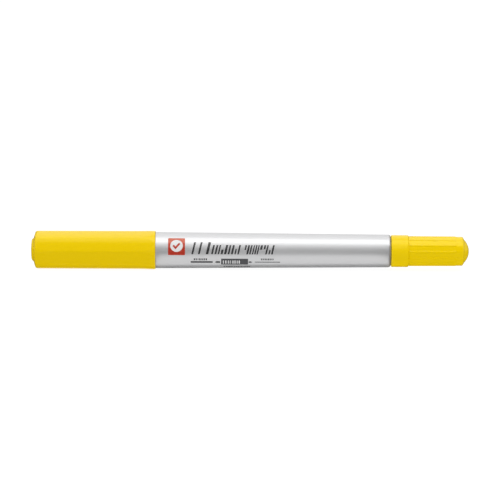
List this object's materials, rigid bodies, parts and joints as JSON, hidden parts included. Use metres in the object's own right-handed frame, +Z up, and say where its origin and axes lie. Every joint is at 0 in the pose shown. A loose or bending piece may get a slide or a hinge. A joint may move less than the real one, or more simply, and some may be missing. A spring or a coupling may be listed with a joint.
{
  "type": "counterfeit detector pen",
  "caption": "Twin-tip marker pen with a faceted push-on cap over the fine nib, a ribbed push-on cap over the extra-fine nib and a tapered silver barrel.",
  "frame": {"origin": "on the table under the middle of the pen, at the centre of the bottom of its bounding box, with the pen lying on the rim of the large cap", "axes": "+X along the pen from the large cap's end to the small cap's end, +Z up, +Y away from the printed side"},
  "size_m": [0.14, 0.0124, 0.0123],
  "materials": {
    "cap_yellow": "moulded yellow plastic, semi-gloss",
    "barrel_silver": "satin silver lacquer on plastic",
    "section_plastic": "dark grey plastic",
    "nib_fibre": "pressed fibre, tinted by pale ink",
    "nib_plastic": "hard plastic point, tinted by pale ink",
    "tip_pipe": "pale grey plastic pipe",
    "reservoir_fibre": "bonded fibre soaked with pale ink",
    "reservoir_film": "clear film"
  },
  "bodies": {
    "pen_body": {"barrel": "barrel_silver", "fine_section": "section_plastic", "fine_nib": "nib_fibre", "extra_fine_section": "section_plastic", "extra_fine_tip_pipe": "tip_pipe", "extra_fine_nib": "nib_plastic", "ink_reservoir": "reservoir_fibre", "reservoir_sleeve": "reservoir_film"},
    "large_cap": {"large_cap_shell": "cap_yellow", "large_cap_seal_cup": "cap_yellow"},
    "small_cap": {"small_cap_shell": "cap_yellow", "small_cap_seal_cup": "cap_yellow"}
  },
  "joints": [
    {"name": "large_cap_pull", "type": "slide", "parent": "pen_body", "child": "large_cap", "axis": [-1, 0, 0], "range_m": [0, 0.045]},
    {"name": "small_cap_pull", "type": "slide", "parent": "pen_body", "child": "small_cap", "axis": [1, 0, 0], "range_m": [0, 0.035]}
  ]
}
